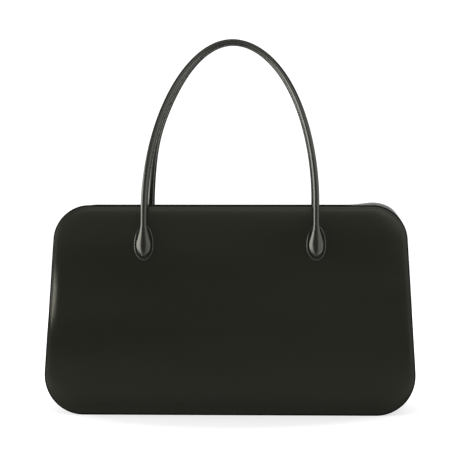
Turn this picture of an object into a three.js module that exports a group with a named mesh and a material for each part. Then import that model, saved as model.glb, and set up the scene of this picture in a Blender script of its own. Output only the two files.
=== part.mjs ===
// A structured leather tote bag. Two trapezoid panels with round corners roll back to a sewn rim,
// a gusset strip joins them round the sides and base, and each panel carries a rolled handle whose
// drop-shaped feet sit on oval tabs. The mouth is open between the gusset's two ends.
// Millimetres, +Z up, the front faces -Y, and the origin is on the floor under the bag's middle.
import * as THREE from "three";

// Panels
const BAG_HEIGHT = 209;
const BASE_HALF_WIDTH = 187.4; // at the floor, before the corners are rounded
const TOP_HALF_WIDTH = 176; // at the top edge, before the corners are rounded
const LOW_CORNER_RADIUS = 40;
const HIGH_CORNER_RADIUS = 35.5;
const BASE_HALF_DEPTH = 60; // from the bag's middle to a panel's rim, at the floor
const MOUTH_HALF_DEPTH = 39; // the same at the top edge
const PANEL_WALL = 2.4;
const ROLL_WIDTH = 14; // the margin over which a panel rolls back to its rim
const ROLL_DEPTH = 2;
const ROLL_INSETS = [0, 1.5, 5, 9, ROLL_WIDTH]; // rings of the margin, from the rim inwards
const MIDDLE_HALF_WIDTH = 130; // an ellipse that the flat middle is filled through
const MIDDLE_HALF_RISE = 60;
const MIDDLE_HEIGHT = 104;
const CORNER_STEPS = 9;
const EDGE_STEP = 30;

// Gusset
const GUSSET_WALL = 1.8;
const FLANGE_WIDTH = 6; // seam allowance turned out behind each panel's rim
const FLANGE_SETBACK = 0.6; // from a panel's rim to the flange's cut edge
const FLANGE_BEND = 2; // radius from the flange into the wall
const SEAM_GAP = 0.45;
const MOUTH_HALF_LENGTH = 122; // from the bag's middle to each end of the gusset
const WALL_SHARES = [-0.8, -0.4, 0, 0.4, 0.8]; // across the gusset's wall, front to back
const GUSSET_SWELL = [
  // How far the middle of the strip stands out, by the distance from its nearer end.
  { along: 0, swell: 5.5 },
  { along: 16, swell: 7 },
  { along: 38, swell: 7.5 },
  { along: 54, swell: 6 },
  { along: 90, swell: 0 },
  { along: 140, swell: -3 },
  { along: 205, swell: 0 },
];
const LEFT_SWELL_SHARE = 0.75; // the left shoulder stands out less than the right one

// Handles
const LEG_X = 86.4; // the middle of a foot and of a straight leg
const LOOP_BASE = 208; // height where the legs turn into the arch
const LOOP_RISE = 168; // to the arch's centre line
const LOOP_FULLNESS = 2.015; // 2 makes the arch a half ellipse, and more makes it squarer
const APEX_Y = -6.5; // the two handles lean together at the top
const TOP_SWAY = 2.6; // both arches sway this far to the right at the top
const LOOP_STEPS = 36;
const TUBE_SIDES = 12;
const TUBE_RADIUS = 3.1;
const SEAM_RIDGE = 0.7; // the sewn seam along the inner side of the tube
const SEAT_GAP = 0.3;
const FOOT_SECTIONS = [
  // From the tip up to the neck: height above the tip, half width, front and back of the section.
  { rise: 0, halfWidth: 1.8, front: 0.5, back: 0.3 },
  { rise: 1, halfWidth: 3.6, front: 1.4, back: 0.5 },
  { rise: 3.4, halfWidth: 5.4, front: 2.5, back: 0.7 },
  { rise: 7.5, halfWidth: 6.7, front: 3.4, back: 0.9 },
  { rise: 13, halfWidth: 7.2, front: 3.9, back: 1.1 },
  { rise: 18, halfWidth: 6.7, front: 4, back: 1.6 },
  { rise: 23.5, halfWidth: 5.3, front: 3.8, back: 2.2 },
  { rise: 30, halfWidth: 3.7, front: 3.4, back: 2.8 },
  { rise: 37, halfWidth: 3.1, front: 3.1, back: 3.1 },
];
const FOOT_TIP = 159; // distance of the foot's tip up the panel

// Tabs under the feet
const TAB_WALL = 1.2;
const TAB_BEVEL = 0.4;
const TAB_HALF_WIDTH = 9.8;
const TAB_CENTRE = 174; // distance of the tab's widest line up the panel
const TAB_BELOW = 19;
const TAB_ABOVE = 17;
const TAB_CURVE_STEPS = 10;

const PANEL_LEAN = Math.atan2(BASE_HALF_DEPTH - MOUTH_HALF_DEPTH, BAG_HEIGHT);

const leather = (colour, roughness) =>
  new THREE.MeshStandardMaterial({ color: colour, roughness, metalness: 0 });
const PANEL_LEATHER = leather(0x24241f, 0.38);
const GUSSET_LEATHER = leather(0x22221e, 0.42);
const HANDLE_LEATHER = leather(0x2b2a26, 0.24);
const TAB_LEATHER = leather(0x292925, 0.3);

// Distance from the bag's middle to a panel's rim at a height.
const halfDepth = (z) =>
  BASE_HALF_DEPTH - (BASE_HALF_DEPTH - MOUTH_HALF_DEPTH) * (z / BAG_HEIGHT);

// How far a panel stands proud of its rim, at an inset from the rim.
function rollAt(inset) {
  const share = Math.min(inset / ROLL_WIDTH, 1);
  return ROLL_DEPTH * (1 - (1 - share) ** 2);
}

// The value of one column of a table at a place in another column, eased between the rows.
function lookUp(table, key, place, column) {
  const next = table.findIndex((row) => row[key] >= place);
  if (next === 0) return table[0][column];
  if (next < 0) return table.at(-1)[column];
  const low = table[next - 1];
  const high = table[next];
  const share = (place - low[key]) / (high[key] - low[key]);
  return THREE.MathUtils.lerp(low[column], high[column], share * share * (3 - 2 * share));
}

// Triangles that fill one closed flat ring, facing the way the ring turns.
function fillRing(ring) {
  const normal = new THREE.Vector3();
  ring.forEach((point, i) =>
    normal.add(point.clone().cross(ring[(i + 1) % ring.length])),
  );
  const flatten = new THREE.Quaternion().setFromUnitVectors(
    normal.normalize(),
    new THREE.Vector3(0, 0, 1),
  );
  const contour = ring.map((point) => {
    const flat = point.clone().applyQuaternion(flatten);
    return new THREE.Vector2(flat.x, flat.y);
  });
  return THREE.ShapeUtils.triangulateShape(contour, []);
}

// Six times the signed volume of a closed set of triangles.
function signedVolume(points, faces) {
  return faces.reduce(
    (sum, [a, b, c]) => sum + points[a].dot(points[b].clone().cross(points[c])),
    0,
  );
}

// A closed solid through rings of equal length, with its first and last ring filled in.
function loft(rings) {
  const count = rings[0].length;
  const points = rings.flat();
  const faces = [];
  for (let ring = 0; ring + 1 < rings.length; ring++)
    for (let i = 0; i < count; i++) {
      const here = ring * count + i;
      const beside = ring * count + ((i + 1) % count);
      faces.push([here, beside, beside + count], [here, beside + count, here + count]);
    }
  const last = points.length - count;
  faces.push(...fillRing(rings[0]).map(([a, b, c]) => [a, c, b]));
  faces.push(...fillRing(rings.at(-1)).map((face) => face.map((i) => last + i)));
  const outward = signedVolume(points, faces) > 0;
  const geometry = new THREE.BufferGeometry().setFromPoints(points);
  geometry.setIndex(faces.flatMap(([a, b, c]) => (outward ? [a, b, c] : [a, c, b])));
  geometry.computeVertexNormals();
  return geometry;
}

// Stations round a panel's outline from the middle of its top edge, seen from the front:
// a point in X and Z, and the direction inwards.
function outlineStations() {
  const lean = Math.atan2(BASE_HALF_WIDTH - TOP_HALF_WIDTH, BAG_HEIGHT);
  const cornerX = (z, radius) =>
    BASE_HALF_WIDTH - Math.tan(lean) * z - radius / Math.cos(lean);
  const highZ = BAG_HEIGHT - HIGH_CORNER_RADIUS;
  const highX = cornerX(highZ, HIGH_CORNER_RADIUS);
  const lowZ = LOW_CORNER_RADIUS;
  const lowX = cornerX(lowZ, LOW_CORNER_RADIUS);
  const quarter = Math.PI / 2;
  const path = new THREE.Path();
  path.moveTo(0, BAG_HEIGHT);
  path.lineTo(-MOUTH_HALF_LENGTH, BAG_HEIGHT);
  path.absarc(-highX, highZ, HIGH_CORNER_RADIUS, quarter, 2 * quarter - lean);
  path.absarc(-lowX, lowZ, LOW_CORNER_RADIUS, 2 * quarter - lean, 3 * quarter);
  path.absarc(lowX, lowZ, LOW_CORNER_RADIUS, 3 * quarter, 4 * quarter + lean);
  path.absarc(highX, highZ, HIGH_CORNER_RADIUS, lean, quarter);
  path.lineTo(MOUTH_HALF_LENGTH, BAG_HEIGHT);
  path.lineTo(0, BAG_HEIGHT);
  const stations = [];
  for (const curve of path.curves) {
    const steps = curve.isLineCurve
      ? Math.ceil(curve.getLength() / EDGE_STEP)
      : CORNER_STEPS;
    for (let step = 0; step < steps; step++) {
      const point = curve.getPoint(step / steps);
      const tangent = curve.getTangent(step / steps);
      stations.push({ point, inward: new THREE.Vector2(-tangent.y, tangent.x) });
    }
  }
  return stations;
}

const STATIONS = outlineStations();

// A station's point at an inset from the outline, at a depth that its height gives.
function inset(station, distance, depthAt) {
  const flat = station.point.clone().addScaledVector(station.inward, distance);
  return new THREE.Vector3(flat.x, depthAt(flat.y), flat.y);
}

// The ellipse in a panel's flat middle, a point for each station.
function middleRing(wall) {
  return STATIONS.map(({ point }) => {
    const angle = Math.atan2(
      (point.y - MIDDLE_HEIGHT) / MIDDLE_HALF_RISE,
      point.x / MIDDLE_HALF_WIDTH,
    );
    const z = MIDDLE_HEIGHT + MIDDLE_HALF_RISE * Math.sin(angle);
    const y = wall - halfDepth(z) - ROLL_DEPTH;
    return new THREE.Vector3(MIDDLE_HALF_WIDTH * Math.cos(angle), y, z);
  });
}

// One panel: its outer skin from the flat middle out to the rim, then its inner skin back again.
function panelGeometry() {
  const skin = (distance, wall) =>
    STATIONS.map((station) =>
      inset(station, distance, (z) => wall - halfDepth(z) - rollAt(distance)),
    );
  const outer = ROLL_INSETS.toReversed().map((distance) => skin(distance, 0));
  const inner = ROLL_INSETS.map((distance) => skin(distance, PANEL_WALL));
  return loft([middleRing(0), ...outer, ...inner, middleRing(PANEL_WALL)]);
}

// A closed band of a wall's thickness round an open line in the plane.
function thicken(line, wall) {
  const sides = line.map((_, i) => {
    const before = line[Math.max(i - 1, 0)];
    const after = line[Math.min(i + 1, line.length - 1)];
    const along = after.clone().sub(before).normalize();
    return new THREE.Vector2(-along.y, along.x).multiplyScalar(wall / 2);
  });
  return [
    ...line.map((point, i) => point.clone().add(sides[i])),
    ...line.map((point, i) => point.clone().sub(sides[i])).toReversed(),
  ];
}

// The gusset's centre line at a station, as insets and depths: flange, wall and flange.
function gussetLine(station, swell) {
  const seam = (distance) => {
    const z = station.point.y + station.inward.y * distance;
    const panelInside = PANEL_WALL - halfDepth(z) - rollAt(distance);
    return panelInside + SEAM_GAP + GUSSET_WALL / 2;
  };
  const turn = FLANGE_WIDTH - FLANGE_BEND;
  const middle = (FLANGE_SETBACK + turn) / 2;
  const halfWall = -seam(FLANGE_WIDTH) - FLANGE_BEND;
  const eased = FLANGE_BEND * (1 - Math.SQRT1_2);
  const front = [
    new THREE.Vector2(FLANGE_SETBACK, seam(FLANGE_SETBACK)),
    new THREE.Vector2(middle, seam(middle)),
    new THREE.Vector2(turn, seam(turn)),
    new THREE.Vector2(FLANGE_WIDTH - eased, -halfWall - FLANGE_BEND + eased),
  ];
  const wall = WALL_SHARES.map(
    (share) =>
      new THREE.Vector2(FLANGE_WIDTH - swell * (1 - share * share), share * halfWall),
  );
  const back = front.map((point) => new THREE.Vector2(point.x, -point.y)).toReversed();
  return [...front, ...wall, ...back];
}

// The gusset: its section carried round the outline from one end of the mouth to the other.
function gussetGeometry() {
  const run = STATIONS.filter(
    ({ point }) => point.y < BAG_HEIGHT || Math.abs(point.x) >= MOUTH_HALF_LENGTH,
  );
  const lengths = run.map((station, i) =>
    i === 0 ? 0 : station.point.distanceTo(run[i - 1].point),
  );
  const whole = lengths.reduce((sum, length) => sum + length, 0);
  let along = 0;
  return loft(
    run.map((station, i) => {
      along += lengths[i];
      const fromEnd = Math.min(along, whole - along);
      const swell = lookUp(GUSSET_SWELL, "along", fromEnd, "swell");
      const line = gussetLine(station, station.point.x < 0 ? LEFT_SWELL_SHARE * swell : swell);
      return thicken(line, GUSSET_WALL).map((place) =>
        inset(station, place.x, () => place.y),
      );
    }),
  );
}

// The front panel's face: directions up it and out of it, and a point up it and off it.
const UP_FACE = new THREE.Vector3(0, Math.sin(PANEL_LEAN), Math.cos(PANEL_LEAN));
const OUT_OF_FACE = new THREE.Vector3(0, -Math.cos(PANEL_LEAN), Math.sin(PANEL_LEAN));
const onFace = (x, up, off) =>
  new THREE.Vector3(x, -BASE_HALF_DEPTH - ROLL_DEPTH, 0)
    .addScaledVector(UP_FACE, up)
    .addScaledVector(OUT_OF_FACE, off);

// Sections of the front handle from the left foot's tip to the top of the arch.
function leftHandleSections() {
  const seat = 2 * SEAT_GAP + TAB_WALL;
  const foot = FOOT_SECTIONS.map(({ rise, halfWidth, front, back }) => ({
    centre: onFace(-LEG_X, FOOT_TIP + rise, seat + back),
    along: UP_FACE,
    halfWidth,
    front,
    back,
    ridge: 0,
  }));
  const neck = foot.at(-1).centre;
  const slope = Math.tan(PANEL_LEAN);
  const span = LOOP_BASE + LOOP_RISE - neck.z;
  const lean = APEX_Y - neck.y - slope * span;
  const power = 2 / LOOP_FULLNESS;
  const loop = [];
  for (let step = 0; step <= LOOP_STEPS / 2; step++) {
    const angle = (step / LOOP_STEPS) * Math.PI;
    const z = LOOP_BASE + LOOP_RISE * Math.sin(angle) ** power;
    const rise = z - neck.z;
    loop.push({
      centre: new THREE.Vector3(
        -LEG_X * Math.cos(angle) ** power,
        neck.y + slope * rise + lean * (rise / span) ** 2,
        z,
      ),
      halfWidth: TUBE_RADIUS,
      front: TUBE_RADIUS,
      back: TUBE_RADIUS,
      ridge: SEAM_RIDGE,
    });
  }
  return [...foot, ...loop];
}

// A section with left and right exchanged, which reverses the way along the handle.
function mirrored(section) {
  const flip = new THREE.Vector3(-1, 1, 1);
  return {
    ...section,
    centre: section.centre.clone().multiply(flip),
    along: section.along && section.along.clone().negate(),
  };
}

// A section moved aside by the arch's sway, which grows from the legs to the top.
function swayed(section, sway) {
  const share = Math.max(section.centre.z - LOOP_BASE, 0) / LOOP_RISE;
  const aside = new THREE.Vector3(sway * share, 0, 0);
  return { ...section, centre: section.centre.clone().add(aside) };
}

// One handle: a tube with a seam ridge on the arch's inner side and a swollen foot at each end.
function handleGeometry(sway) {
  const left = leftHandleSections();
  const right = left.slice(0, -1).toReversed().map(mirrored);
  const sections = [...left, ...right].map((section) => swayed(section, sway));
  const rings = sections.map((section, i) => {
    const { centre, halfWidth, front, back, ridge } = section;
    const along =
      section.along ??
      sections[i + 1].centre.clone().sub(sections[i - 1].centre).normalize();
    const out = OUT_OF_FACE.clone()
      .addScaledVector(along, -OUT_OF_FACE.dot(along))
      .normalize();
    const inner = along.clone().cross(out);
    return Array.from({ length: TUBE_SIDES }, (_, side) => {
      const angle = (side / TUBE_SIDES) * 2 * Math.PI;
      const across = halfWidth * Math.cos(angle) + (side === 0 ? ridge : 0);
      const proud = Math.sin(angle) * (Math.sin(angle) > 0 ? front : back);
      return centre.clone().addScaledVector(inner, across).addScaledVector(out, proud);
    });
  });
  return loft(rings);
}

// An oval tab, drawn flat with its narrow end up.
function tabGeometry() {
  const outline = new THREE.Shape();
  outline.absellipse(0, 0, TAB_HALF_WIDTH, TAB_BELOW, Math.PI, 2 * Math.PI);
  outline.absellipse(0, 0, TAB_HALF_WIDTH, TAB_ABOVE, 0, Math.PI);
  return new THREE.ExtrudeGeometry(outline, {
    depth: TAB_WALL - 2 * TAB_BEVEL,
    bevelThickness: TAB_BEVEL,
    bevelSize: TAB_BEVEL,
    bevelOffset: -TAB_BEVEL,
    bevelSegments: 1,
    curveSegments: TAB_CURVE_STEPS,
  });
}

function piece(name, geometry, material) {
  const mesh = new THREE.Mesh(geometry, material);
  mesh.name = name;
  return mesh;
}

// A panel with its handle and the two tabs under the handle's feet.
function bagSide(name, turn) {
  const side = new THREE.Group();
  side.rotation.z = turn;
  side.add(
    piece(`${name}_panel`, panelGeometry(), PANEL_LEATHER),
    piece(`${name}_handle`, handleGeometry(TOP_SWAY * Math.cos(turn)), HANDLE_LEATHER),
  );
  const face = new THREE.Group();
  face.position.copy(onFace(0, 0, 0));
  face.rotation.x = -PANEL_LEAN;
  for (const x of [-LEG_X, LEG_X]) {
    const hand = x * Math.cos(turn) < 0 ? "left" : "right";
    const tab = piece(`${name}_${hand}_tab`, tabGeometry(), TAB_LEATHER);
    tab.rotation.x = Math.PI / 2;
    tab.position.set(x, -SEAT_GAP - TAB_BEVEL, TAB_CENTRE);
    face.add(tab);
  }
  side.add(face);
  return side;
}

const bag = new THREE.Group();
bag.add(
  piece("gusset", gussetGeometry(), GUSSET_LEATHER),
  bagSide("front", 0),
  bagSide("back", Math.PI),
);

export default bag;
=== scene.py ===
"""A structured black leather tote bag standing in a plain white studio.

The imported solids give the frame. Each piece is modelled again in detail in its solid's place,
sewn with modelled stitches and dressed in procedural leather.
Metres, +Z up; the front of the bag faces -Y.
"""

import logging
import math
from collections.abc import Callable, Sequence
from dataclasses import astuple, dataclass
from enum import Enum
from itertools import pairwise

import bmesh
import bpy
import numpy as np
from bmesh.types import BMFace
from bpy.types import Material, Node, NodeSocket, NodeTree, Object
from mathutils import Matrix, Vector


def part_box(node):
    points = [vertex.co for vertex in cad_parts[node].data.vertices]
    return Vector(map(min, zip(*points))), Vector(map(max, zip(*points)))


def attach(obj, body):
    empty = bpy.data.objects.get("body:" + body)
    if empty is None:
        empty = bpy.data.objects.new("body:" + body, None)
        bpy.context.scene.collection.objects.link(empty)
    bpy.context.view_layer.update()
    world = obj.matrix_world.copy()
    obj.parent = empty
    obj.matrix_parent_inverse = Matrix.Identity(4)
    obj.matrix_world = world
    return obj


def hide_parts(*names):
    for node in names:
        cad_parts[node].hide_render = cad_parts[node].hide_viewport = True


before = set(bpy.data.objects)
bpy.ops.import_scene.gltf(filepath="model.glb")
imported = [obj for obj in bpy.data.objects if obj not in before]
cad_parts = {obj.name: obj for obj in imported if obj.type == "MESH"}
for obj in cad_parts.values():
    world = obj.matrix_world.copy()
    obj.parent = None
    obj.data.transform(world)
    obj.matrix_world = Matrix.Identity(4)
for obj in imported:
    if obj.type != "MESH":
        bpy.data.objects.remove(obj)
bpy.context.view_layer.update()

LOG = logging.getLogger("tote_bag")
BODY = "root"
MM = 0.001
HAIR = 0.01 * MM
MERGE_DISTANCE = 0.02 * MM
CORNER_SEGMENTS = 20
ROUND_PROFILE = 0.5
ARC_STEPS = 60
SMOOTH_ANGLE = math.radians(35)
SHARP_ANGLE = math.radians(50)
QUARTER = math.pi / 2
ORIGIN = (0.0, 0.0, 0.0)
RIGHT = Vector((1.0, 0.0, 0.0))
UP = Vector((0.0, 0.0, 1.0))
WHITE = (1.0, 1.0, 1.0, 1.0)


def in_mm(*sizes: float) -> tuple[float, ...]:
    """Sizes given in millimetres, turned into metres."""
    return tuple(size * MM for size in sizes)


def fade(distance: float, width: float) -> float:
    """A share that falls evenly, from 1 at no distance to 0 at a width."""
    return max(1.0 - distance / width, 0.0)


def smooth_step(share: float) -> float:
    """A share from 0 to 1, eased in and out."""
    return share * share * (3.0 - 2.0 * share)


class Element(Enum):
    """What a selection picks, in the order of Blender's select modes."""

    VERT = "verts"
    EDGE = "edges"
    FACE = "faces"


class Hand(Enum):
    """The bag's left and right, seen from the front, as signs along X."""

    LEFT = -1
    RIGHT = 1


class Skin(Enum):
    """Material slots of a leather wall."""

    GRAIN = 0
    EDGE = 1
    FLESH = 2


class Bench:
    """The moves that every piece is modelled with."""

    @staticmethod
    def clear() -> None:
        """Leave edit mode and deselect everything."""
        if bpy.context.mode != "OBJECT":
            bpy.ops.object.mode_set(mode="OBJECT")
        bpy.ops.object.select_all(action="DESELECT")

    @staticmethod
    def open(name: str) -> Object:
        """Name the primitive just added and open it in edit mode, all of it selected.

        Args:
            name: Name of the piece.

        Returns:
            The piece, with its place and turn already in its mesh.
        """
        piece = bpy.context.object
        piece.name = name
        piece.data.name = name
        Bench.freeze()
        bpy.ops.object.mode_set(mode="EDIT")
        Bench.pick_all()
        return piece

    @staticmethod
    def freeze() -> None:
        """Put the active piece's place, turn and scale into its mesh."""
        bpy.ops.object.transform_apply(location=True, rotation=True, scale=True)

    @staticmethod
    def activate(piece: Object) -> None:
        """Make one piece the only selected and active one, in object mode."""
        Bench.clear()
        piece.select_set(True)
        bpy.context.view_layer.objects.active = piece

    @staticmethod
    def pick(piece: Object, element: Element, test: Callable[..., bool]) -> None:
        """Select, in edit mode, just the elements that pass a test.

        Args:
            piece: The piece being edited.
            element: Whether vertices, edges or faces are picked.
            test: Takes one mesh element and says whether it is picked.
        """
        bpy.ops.mesh.select_all(action="DESELECT")
        bpy.context.tool_settings.mesh_select_mode = tuple(kind is element for kind in Element)
        mesh = bmesh.from_edit_mesh(piece.data)
        for item in getattr(mesh, element.value):
            item.select_set(test(item))
        mesh.select_flush_mode()
        bmesh.update_edit_mesh(piece.data)

    @staticmethod
    def pick_all() -> None:
        """Select, in edit mode, the whole piece."""
        bpy.ops.mesh.select_all(action="SELECT")

    @staticmethod
    def scale(x: float, y: float, z: float) -> None:
        """Scale what is selected about the origin."""
        bpy.ops.transform.resize(value=(x, y, z), center_override=ORIGIN)

    @staticmethod
    def cut(places: Sequence[float], axis: Vector) -> None:
        """Cut everything in edit mode across an axis at each place along it."""
        for place in places:
            Bench.pick_all()
            bpy.ops.mesh.bisect(plane_co=axis * place, plane_no=axis)

    @staticmethod
    def apply(piece: Object, kind: str, **settings: object) -> None:
        """Add one modifier to a piece, set it and apply it.

        Args:
            piece: The piece to change.
            kind: The modifier's type.
            **settings: Values for the modifier's properties.
        """
        Bench.activate(piece)
        modifier = piece.modifiers.new(kind.title(), kind)
        for name, value in settings.items():
            setattr(modifier, name, value)
        bpy.ops.object.modifier_apply(modifier=modifier.name)

    @staticmethod
    def thicken(piece: Object, wall: float, even: bool = True) -> None:
        """Give a leather skin its wall, with a painted rim and a flesh side.

        Args:
            piece: The skin, which becomes the wall's outer face.
            wall: Thickness of the leather.
            even: Whether the thickness is kept in the bends.
        """
        Bench.apply(
            piece,
            "SOLIDIFY",
            thickness=wall,
            offset=-1.0,
            use_even_offset=even,
            material_offset=Skin.FLESH.value,
            material_offset_rim=Skin.EDGE.value,
        )

    @staticmethod
    def round_edges(piece: Object, width: float, segments: int = 3) -> None:
        """Round a piece's sharp edges.

        Args:
            piece: The piece to change.
            width: How far the rounding reaches from an edge.
            segments: Number of faces across the rounding.
        """
        Bench.apply(
            piece, "BEVEL", width=width, segments=segments, limit_method="ANGLE", angle_limit=SHARP_ANGLE
        )

    @staticmethod
    def smooth(piece: Object) -> None:
        """Shade a piece smooth, except over its sharp edges."""
        Bench.activate(piece)
        bpy.ops.object.shade_smooth_by_angle(angle=SMOOTH_ANGLE)

    @staticmethod
    def mirrored_copy(piece: Object) -> Object:
        """Copy a front piece, with a mesh of its own, and mirror it to the back.

        Args:
            piece: The finished piece of the front.

        Returns:
            The copy, named for the back.
        """
        Bench.activate(piece)
        bpy.ops.object.duplicate()
        copy = Bench.open(piece.name.replace("front", "back"))
        Bench.scale(1.0, -1.0, 1.0)
        bpy.ops.mesh.flip_normals()
        Bench.clear()
        return copy

    @staticmethod
    def hand_over(piece: Object, slot: str, *nodes: str) -> None:
        """Fix a finished piece to the bag's body, in place of the solids it stands for.

        Args:
            piece: The finished piece.
            slot: The material slot that its finish belongs to; not used.
            *nodes: The solids that it replaces, if any.
        """
        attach(piece, BODY)
        if nodes:
            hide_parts(*nodes)
        LOG.info("%s: %d faces", piece.name, len(piece.data.polygons))

    @staticmethod
    def aim(thing: Object, target: Sequence[float]) -> None:
        """Turn a light or a camera to face a target."""
        way = Vector(target) - thing.location
        thing.rotation_euler = way.to_track_quat("-Z", "Y").to_euler()


class NodeBoard:
    """A material's nodes, laid down one by one and wired as they come."""

    def __init__(self, name: str) -> None:
        """Start a new material that has only a surface shader.

        Args:
            name: Name of the material.
        """
        self.material: Material = bpy.data.materials.new(name)
        self.material.use_nodes = True
        self.tree: NodeTree = self.material.node_tree
        self.shader: Node = self.tree.nodes["Principled BSDF"]
        self.place: Node = self.tree.nodes.new("ShaderNodeTexCoord")

    @staticmethod
    def fill(node: Node, **values: object) -> None:
        """Set a node's inputs by name, with underscores for spaces in the names."""
        for name, value in values.items():
            node.inputs[name.replace("_", " ")].default_value = value

    def add(self, kind: str, **values: object) -> Node:
        """Lay down a node and set its inputs.

        Args:
            kind: The node's type, without its prefix.
            **values: Input values by name.

        Returns:
            The new node.
        """
        node = self.tree.nodes.new("ShaderNode" + kind)
        self.fill(node, **values)
        return node

    def texture(self, kind: str, **values: object) -> Node:
        """Lay down a texture that is fixed to the piece, as its object coordinates."""
        node = self.add(kind, **values)
        self.wire(self.place.outputs["Object"], node.inputs["Vector"])
        return node

    def wire(self, source: NodeSocket, target: NodeSocket) -> None:
        """Join an output to an input."""
        self.tree.links.new(source, target)

    def stretch(self, value: NodeSocket, before: Sequence[float], after: Sequence[float]) -> NodeSocket:
        """Stretch a value from one range to another.

        Args:
            value: The output that gives the value.
            before: Ends of the range that it comes in.
            after: Ends of the range that it is stretched to.

        Returns:
            The output that gives the stretched value.
        """
        node = self.add("MapRange", From_Min=before[0], From_Max=before[1])
        self.fill(node, To_Min=after[0], To_Max=after[1])
        self.wire(value, node.inputs["Value"])
        return node.outputs["Result"]

    def bump(self, height: NodeSocket, strength: float, distance: float, under: Node | None) -> Node:
        """Raise a fine relief on the shader's normal.

        Args:
            height: The output that gives the relief's height.
            strength: Share of the relief that shows.
            distance: The relief's full height.
            under: A relief that this one is added to, if there is one.

        Returns:
            The bump node, wired to the shader.
        """
        node = self.add("Bump", Strength=strength, Distance=distance)
        self.wire(height, node.inputs["Height"])
        if under:
            self.wire(under.outputs["Normal"], node.inputs["Normal"])
        self.wire(node.outputs["Normal"], self.shader.inputs["Normal"])
        return node


@dataclass(frozen=True)
class LeatherFinish:
    """Polished black calf with fine pores, faint creases and an uneven polish, laid on in strokes."""

    name: str
    colour: tuple[float, float, float]
    roughness: float
    polish_spread: float
    coat: float = 0.0
    coat_roughness: float = 0.16
    tint: tuple[float, float, float] = (1.0, 0.99, 0.84)
    pore: float = 0.5 * MM
    pore_depth: float = 0.1 * MM
    pore_strength: float = 0.12
    crease: float = 4.0 * MM
    crease_depth: float = 0.4 * MM
    crease_strength: float = 0.10
    crease_detail: float = 4.0
    crease_sharpness: float = 0.6
    cloud: float = 70.0 * MM
    cloud_detail: float = 3.0
    cloud_range: tuple[float, float] = (0.3, 0.7)
    stroke: tuple[float, float, float] = (1.0, 1.0, 1.0)
    stroke_start: tuple[float, float, float] = ORIGIN

    def build(self) -> Material:
        """Make the material."""
        board = NodeBoard(self.name)
        board.fill(
            board.shader,
            Base_Color=(*self.colour, 1.0),
            Specular_Tint=(*self.tint, 1.0),
            Coat_Weight=self.coat,
            Coat_Roughness=self.coat_roughness,
        )
        strokes = board.texture("Mapping", Location=self.stroke_start, Scale=self.stroke)
        cloud = board.add("TexNoise", Scale=1.0 / self.cloud, Detail=self.cloud_detail)
        board.wire(strokes.outputs["Vector"], cloud.inputs["Vector"])
        bright_to_dull = (self.roughness - self.polish_spread, self.roughness + self.polish_spread)
        polish = board.stretch(cloud.outputs["Fac"], self.cloud_range, bright_to_dull)
        board.wire(polish, board.shader.inputs["Roughness"])
        crease = board.texture(
            "TexNoise", Scale=1.0 / self.crease, Detail=self.crease_detail, Roughness=self.crease_sharpness
        )
        pores = board.texture("TexVoronoi", Scale=1.0 / self.pore)
        relief = board.bump(crease.outputs["Fac"], self.crease_strength, self.crease_depth, None)
        board.bump(pores.outputs["Distance"], self.pore_strength, self.pore_depth, relief)
        return board.material


@dataclass(frozen=True)
class PlainFinish:
    """One even colour with a faint fine grain: edge paint, thread or the leather's flesh side."""

    name: str
    colour: tuple[float, float, float]
    roughness: float
    gloss: float
    grain: float
    grain_strength: float
    grain_depth: float = 0.2 * MM
    grain_detail: float = 3.0

    def build(self) -> Material:
        """Make the material."""
        board = NodeBoard(self.name)
        board.fill(
            board.shader,
            Base_Color=(*self.colour, 1.0),
            Roughness=self.roughness,
            Specular_IOR_Level=self.gloss,
        )
        noise = board.texture("TexNoise", Scale=1.0 / self.grain, Detail=self.grain_detail)
        board.bump(noise.outputs["Fac"], self.grain_strength, self.grain_depth, None)
        return board.material


@dataclass(frozen=True)
class StudioWhite:
    """The floor: a dim white that glows for the camera alone, a painted light that keeps the bag's shadow
    faint, and that glows less near the bag, a painted shade round it.
    """

    reflectance: float = 0.6
    near: float = 145.0 * MM
    painted_shade_glow: float = 0.5
    far: float = 270.0 * MM
    far_glow: float = 1.1

    def build(self) -> Material:
        """Make the material."""
        board = NodeBoard("studio_white")
        board.fill(
            board.shader,
            Base_Color=(self.reflectance, self.reflectance, self.reflectance, 1.0),
            Roughness=1.0,
            Specular_IOR_Level=0.0,
            Emission_Color=WHITE,
        )
        distance = board.texture("VectorMath")
        distance.operation = "LENGTH"
        near_and_far = (self.near, self.far)
        # Painted light and shade: the camera-only glow fills the floor's shadows far from the bag and is
        # dimmer near it, darkening the floor round the bag.
        spread = board.stretch(distance.outputs["Value"], near_and_far, (self.painted_shade_glow, self.far_glow))
        path = board.add("LightPath")
        glow = board.add("Math")
        glow.operation = "MULTIPLY"
        board.wire(path.outputs["Is Camera Ray"], glow.inputs[0])
        board.wire(spread, glow.inputs[1])
        board.wire(glow.outputs["Value"], board.shader.inputs["Emission Strength"])
        return board.material


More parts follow.
